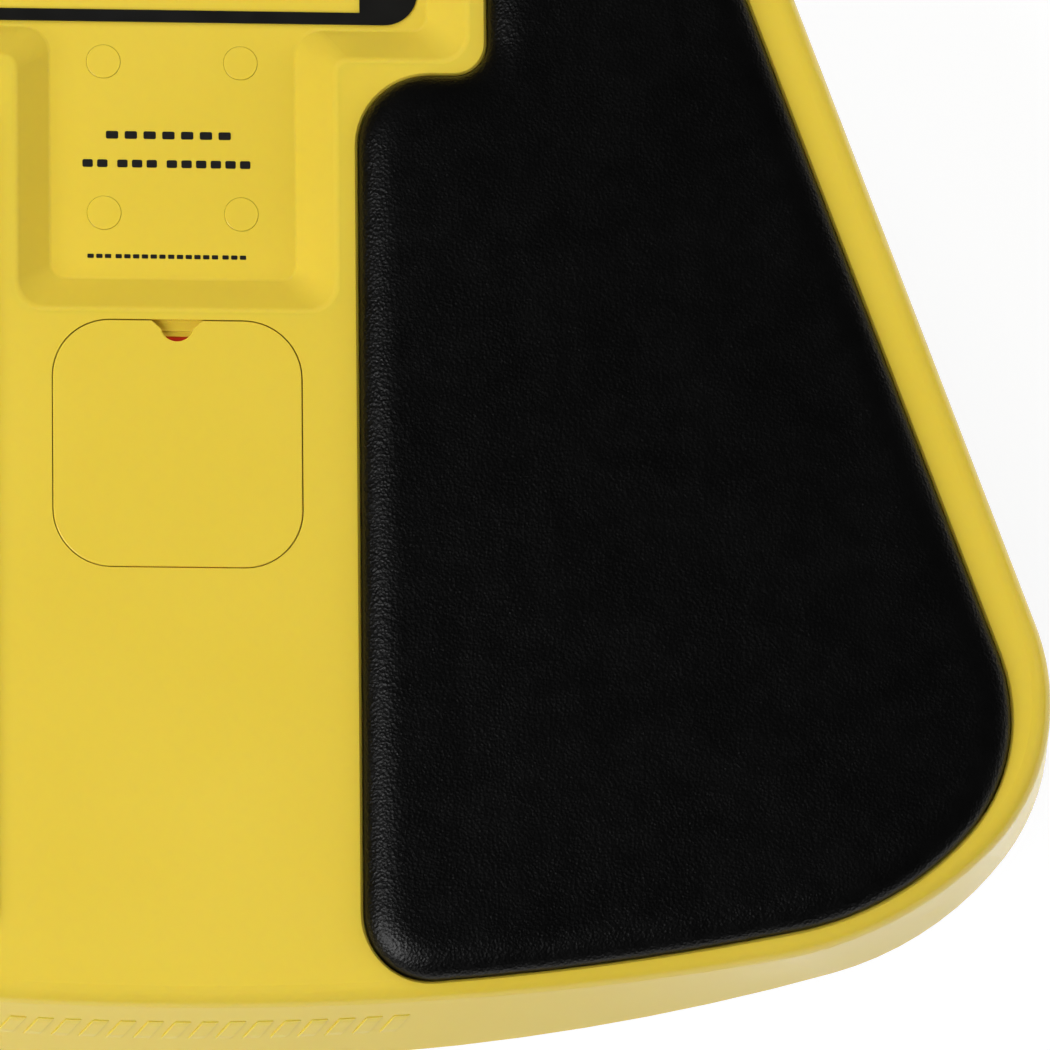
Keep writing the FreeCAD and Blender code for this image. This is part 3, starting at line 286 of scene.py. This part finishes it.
# ---------------------------------------------------------------- phone mat and printed rows
# The mat is a frame of satin black film on the tray's floor, with a window where the phone's screen goes.
# The rows in the tray's leg are plain dashes in the same black, screen printed straight on the plastic.
mat_film, tree, shader = finish("mat_film", (0.007, 0.007, 0.0065), 0.42)
shader.inputs["Specular IOR Level"].default_value = 0.3
vary_gloss(tree, shader, speckle(tree, 0.01), 0.38, 0.5)
raise_grain(tree, shader, speckle(tree, 0.0008), 0.00001)
coat(mat_film, "phone_mat")

ink, tree, shader = finish("ink", (0.008, 0.008, 0.008), 0.45)
vary_colour(tree, shader, speckle(tree, 0.0012), (0.006, 0.006, 0.006), (0.012, 0.011, 0.01))
raise_grain(tree, shader, speckle(tree, 0.0005), 0.000005)

ink_height = 0.00008
dash_round = 0.22            # corner radius, as a share of a dash's height
corner_steps = 3
tray_floor_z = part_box("phone_mat")[0].z
mat_front_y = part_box("phone_mat")[0].y


def dash(work, x0, x1, y, height):
    """One printed dash with rounded ends."""
    radius = height * dash_round
    left, right = x0 + radius, x1 - radius
    low_y, high_y = y - height / 2 + radius, y + height / 2 - radius
    ring = []
    corners = (right, high_y), (left, high_y), (left, low_y), (right, low_y)
    for quarter, (cx, cy) in enumerate(corners):
        for step in range(corner_steps + 1):
            turn = math.pi / 2 * (quarter + step / corner_steps)
            ring.append((cx + radius * math.cos(turn), cy + radius * math.sin(turn)))
    top = [work.verts.new((x, y, tray_floor_z + ink_height)) for x, y in ring]
    low = [work.verts.new((x, y, tray_floor_z - ink_height)) for x, y in ring]
    work.faces.new(top)
    work.faces.new(reversed(low))
    for k in range(len(ring)):
        n = (k + 1) % len(ring)
        work.faces.new((low[k], low[n], top[n], top[k]))


def dash_row(work, x0, x1, y, height, counts, gap, group_gap):
    """A row of dashes in groups, spread evenly from x0 to x1."""
    total = sum(counts)
    width = (x1 - x0 - gap * (total - len(counts)) - group_gap * (len(counts) - 1)) / total
    x = x0
    for count in counts:
        for _ in range(count):
            dash(work, x, x + width, y, height)
            x += width + gap
        x += group_gap - gap


# each row: left end, right end, distance in front of the mat, height, dashes in each group, two gaps
printed_rows = (
    (-0.0220, 0.0194, 0.0380, 0.0026, (7,), 0.0021, 0),
    (-0.0298, 0.0258, 0.0476, 0.0026, (2, 3, 6), 0.0014, 0.0032),
    (-0.0283, 0.0242, 0.0787, 0.0014, (3, 12, 3), 0.0008, 0.0014),
)
work = bmesh.new()
for x0, x1, in_front, height, counts, gap, group_gap in printed_rows:
    dash_row(work, x0, x1, mat_front_y - in_front, height, counts, gap, group_gap)
tray_print = new_piece("tray_print", work, ink, "board")


# ---------------------------------------------------------------- arm pads
# Two forearm pads of moulded foam with its own black skin, which carries a very fine leather grain.
# Each lies in a shallow pocket, stuck down, with a rolled shoulder all round and a barely crowned top.
pad_skin, tree, shader = finish("pad_skin", (0.0018, 0.0018, 0.0018), 0.33)
shader.inputs["Specular IOR Level"].default_value = 0.22
vary_colour(tree, shader, speckle(tree, 0.03), (0.0018, 0.0018, 0.0018), (0.0024, 0.0024, 0.0024))
vary_gloss(tree, shader, speckle(tree, 0.008), 0.3, 0.37)
pores = add(tree, "TexVoronoi", Scale=1 / 0.0011, feature="F1", Randomness=1.0)
place = add(tree, "TexCoord")
tree.links.new(place.outputs["Object"], pores.inputs["Vector"])
hide = raise_grain(tree, shader, pores.outputs["Distance"], 0.00016)
raise_grain(tree, shader, speckle(tree, 0.0006, detail=3.0), 0.00012, under=hide)

outline_step = 0.0022
pad_wall = 0.0032            # upright side, most of it down in the pocket
foot_bevel = (0.0003, 0.0004)     # inwards and up, at the pad's lower edge
ripple_size = 1 / 260        # the moulded edge wanders by a tenth of a millimetre
ripple_depth = 0.00012
spacing_from_edge = 0.55     # closest that an inner point comes to the edge, in spacings
shoulder_width = 0.0130
shoulder_rings = 10
crown = 0.0008
crown_run = 0.055
top_spacing = 0.0060


def pad_outline(name):
    """The edge of the pad's flat underside, as evenly spaced points in the plan."""
    work = bmesh.new()
    work.from_mesh(parts[name].data)
    bmesh.ops.remove_doubles(work, verts=work.verts, dist=1e-6)
    floor_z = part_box(name)[0].z
    upper = [f for f in work.faces if any(v.co.z > floor_z + 1e-5 for v in f.verts)]
    bmesh.ops.delete(work, geom=upper, context="FACES")
    rim = [e for e in work.edges if e.is_boundary]
    here = rim[0].verts[0]
    came = rim[0]
    walk = []
    while True:
        walk.append(here.co.xy)
        came = next(e for e in here.link_edges if e.is_boundary and e != came)
        here = came.other_vert(here)
        if here == rim[0].verts[0]:
            break
    points = np.array([(p.x, p.y) for p in walk] + [(walk[0].x, walk[0].y)])
    work.free()
    run = np.concatenate([[0], np.cumsum(np.hypot(*np.diff(points, axis=0).T))])
    count = int(run[-1] / outline_step)
    at = np.linspace(0, run[-1], count, endpoint=False)
    loop = np.column_stack([np.interp(at, run, points[:, 0]), np.interp(at, run, points[:, 1])])
    area = np.sum(loop[:, 0] * np.roll(loop[:, 1], -1) - np.roll(loop[:, 0], -1) * loop[:, 1])
    return loop if area > 0 else loop[::-1]


def arm_pad(name, cad_name):
    """A pad built in rings from its underside up over the shoulder, then filled with a crowned top."""
    low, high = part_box(cad_name)
    loop = pad_outline(cad_name)
    along = np.roll(loop, -2, axis=0) - np.roll(loop, 2, axis=0)
    inward = np.column_stack([-along[:, 1], along[:, 0]]) / np.hypot(*along.T)[:, None]
    ripple = np.array([noise.noise(Vector((x, y, 0)) / ripple_size) for x, y in loop])
    loop = loop + inward * (ripple_depth * (1 + ripple))[:, None]
    bevel_in, bevel_up = foot_bevel
    rings = [(bevel_in, low.z), (0.0, low.z + bevel_up), (0.0, low.z + pad_wall * 0.6),
             (0.0, low.z + pad_wall)]
    rise = high.z - crown - low.z - pad_wall
    for k in range(1, shoulder_rings + 1):
        turn = math.pi / 2 * k / shoulder_rings
        rings.append((shoulder_width * (1 - math.cos(turn)), low.z + pad_wall + rise * math.sin(turn)))

    work = bmesh.new()
    made = []
    for inset, z in rings:
        ring = loop + inward * inset
        made.append([work.verts.new((x, y, z)) for x, y in ring])
    count = len(loop)
    for below, above in zip(made, made[1:]):
        for k in range(count):
            n = (k + 1) % count
            work.faces.new((below[k], below[n], above[n], above[k]))
    work.faces.new(reversed(made[0]))

    edge = loop + inward * rings[-1][0]
    spots = []
    row_height = top_spacing * math.sqrt(3) / 2
    rows = int((edge[:, 1].max() - edge[:, 1].min()) / row_height)
    for row in range(rows + 1):
        y = edge[:, 1].min() + row * row_height
        x = edge[:, 0].min() + (row % 2) * top_spacing / 2
        while x < edge[:, 0].max():
            spots.append((x, y))
            x += top_spacing
    spots = np.array(spots)
    crosses = np.zeros(len(spots), bool)
    for (x0, y0), (x1, y1) in zip(edge, np.roll(edge, -1, axis=0)):
        between = (y0 > spots[:, 1]) != (y1 > spots[:, 1])
        if y0 != y1:
            reach = x0 + (spots[:, 1] - y0) * (x1 - x0) / (y1 - y0)
            crosses ^= between & (spots[:, 0] < reach)
    gap = np.hypot(spots[:, None, 0] - edge[None, :, 0], spots[:, None, 1] - edge[None, :, 1]).min(axis=1)
    kept = crosses & (gap > top_spacing * spacing_from_edge)
    spots, gap = spots[kept], gap[kept]
    plan = [Vector(p) for p in edge] + [Vector(p) for p in spots]
    around = [(k, (k + 1) % count) for k in range(count)]
    _, _, triangles, _, _, _ = delaunay_2d_cdt(plan, around, [list(range(count))], 1, 1e-7)
    lift = np.clip(gap / crown_run, 0, 1)
    lift = crown * lift * lift * (3 - 2 * lift)
    inner = [work.verts.new((x, y, high.z - crown + z)) for (x, y), z in zip(spots, lift)]
    on_top = made[-1] + inner
    for triangle in triangles:
        work.faces.new([on_top[k] for k in triangle])
    for face in work.faces:
        face.smooth = True
    pad = new_piece(name, work, pad_skin, "board")
    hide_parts(cad_name)
    return pad


right_arm_pad = arm_pad("right_arm_pad", "right_pad")
left_arm_pad = arm_pad("left_arm_pad", "left_pad")


# ---------------------------------------------------------------- studio
# A plain white floor that glows a little, one large soft light to the front left for the highlights, and
# two soft fill lights, from the right and from behind. The surround is nearly dark, which keeps the pads
# black.
bpy.context.scene.view_settings.view_transform = "Standard"

floor_half = 6
work = bmesh.new()
bmesh.ops.create_grid(work, x_segments=1, y_segments=1, size=floor_half)
floor_mesh = bpy.data.meshes.new("floor")
work.to_mesh(floor_mesh)
work.free()
floor = bpy.data.objects.new("floor", floor_mesh)
bpy.context.scene.collection.objects.link(floor)
pale_floor, tree, shader = finish("pale_floor", (0.42, 0.42, 0.42), 0.7)
shader.inputs["Emission Color"].default_value = (1, 1, 1, 1)
shader.inputs["Emission Strength"].default_value = 0.74
floor_mesh.materials.append(pale_floor)

surround = bpy.data.worlds.new("surround")
bpy.context.scene.world = surround
surround.use_nodes = True
tree = surround.node_tree
sky = tree.nodes["Background"]
place = add(tree, "TexCoord")
split = add(tree, "SeparateXYZ")
fade = add(tree, "MapRange")
for name, value in (("From Min", 0.0), ("From Max", 0.85), ("To Min", 0.12), ("To Max", 0.04)):
    fade.inputs[name].default_value = value
tree.links.new(place.outputs["Generated"], split.inputs["Vector"])
tree.links.new(split.outputs["Z"], fade.inputs["Value"])
tree.links.new(fade.outputs["Result"], sky.inputs["Strength"])

deck_middle = Vector((0, (cad_low.y + cad_high.y) / 2, deck_z))


def softbox(name, way, distance, size, power, glossy=True):
    """A square light aimed at the deck from one side; a fill light leaves no highlight."""
    lamp = bpy.data.lights.new(name, "AREA")
    lamp.size = size
    lamp.energy = power
    box = bpy.data.objects.new(name, lamp)
    way = Vector(way).normalized()
    box.location = deck_middle + way * distance
    box.rotation_mode = "QUATERNION"
    box.rotation_quaternion = way.to_track_quat("Z", "Y")
    box.visible_camera = False
    box.visible_glossy = glossy
    bpy.context.scene.collection.objects.link(box)


softbox("light_front_left", (-0.85, -0.6, 1.0), 2.4, 1.6, 56)
softbox("light_right", (1.0, 0.1, 0.5), 2.4, 1.6, 25, glossy=False)
softbox("light_back", (-0.2, 1.2, 1.0), 2.4, 1.6, 32, glossy=False)

# The camera stands almost straight over the right arm pad, a little to the front and left of it, and has
# a long lens.
lens_distance = 6.0
view_half = 0.1724           # half of what the camera sees, at the deck
view_from = Vector((-0.1175, -0.1785, 1.0)).normalized()
view_roll = math.radians(-0.54)
hatch_low, hatch_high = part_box("hatch_cover")
view_aim = Vector((hatch_high.x + 0.0734, (hatch_low.y + hatch_high.y) / 2 - 0.0244, deck_z))
camera_data = bpy.data.cameras.new("camera")
camera_data.sensor_width = 36
camera_data.lens = 18 * lens_distance / view_half
camera_data.clip_start, camera_data.clip_end = 0.1, 50
camera = bpy.data.objects.new("camera", camera_data)
up = (Vector((0, 1, 0)) - view_from * view_from.y).normalized()
across = up.cross(view_from)
turned = Matrix((across, up, view_from)).transposed().to_4x4() @ Matrix.Rotation(view_roll, 4, "Z")
camera.matrix_world = Matrix.Translation(view_aim + view_from * lens_distance) @ turned
bpy.context.scene.collection.objects.link(camera)
bpy.context.scene.camera = camera
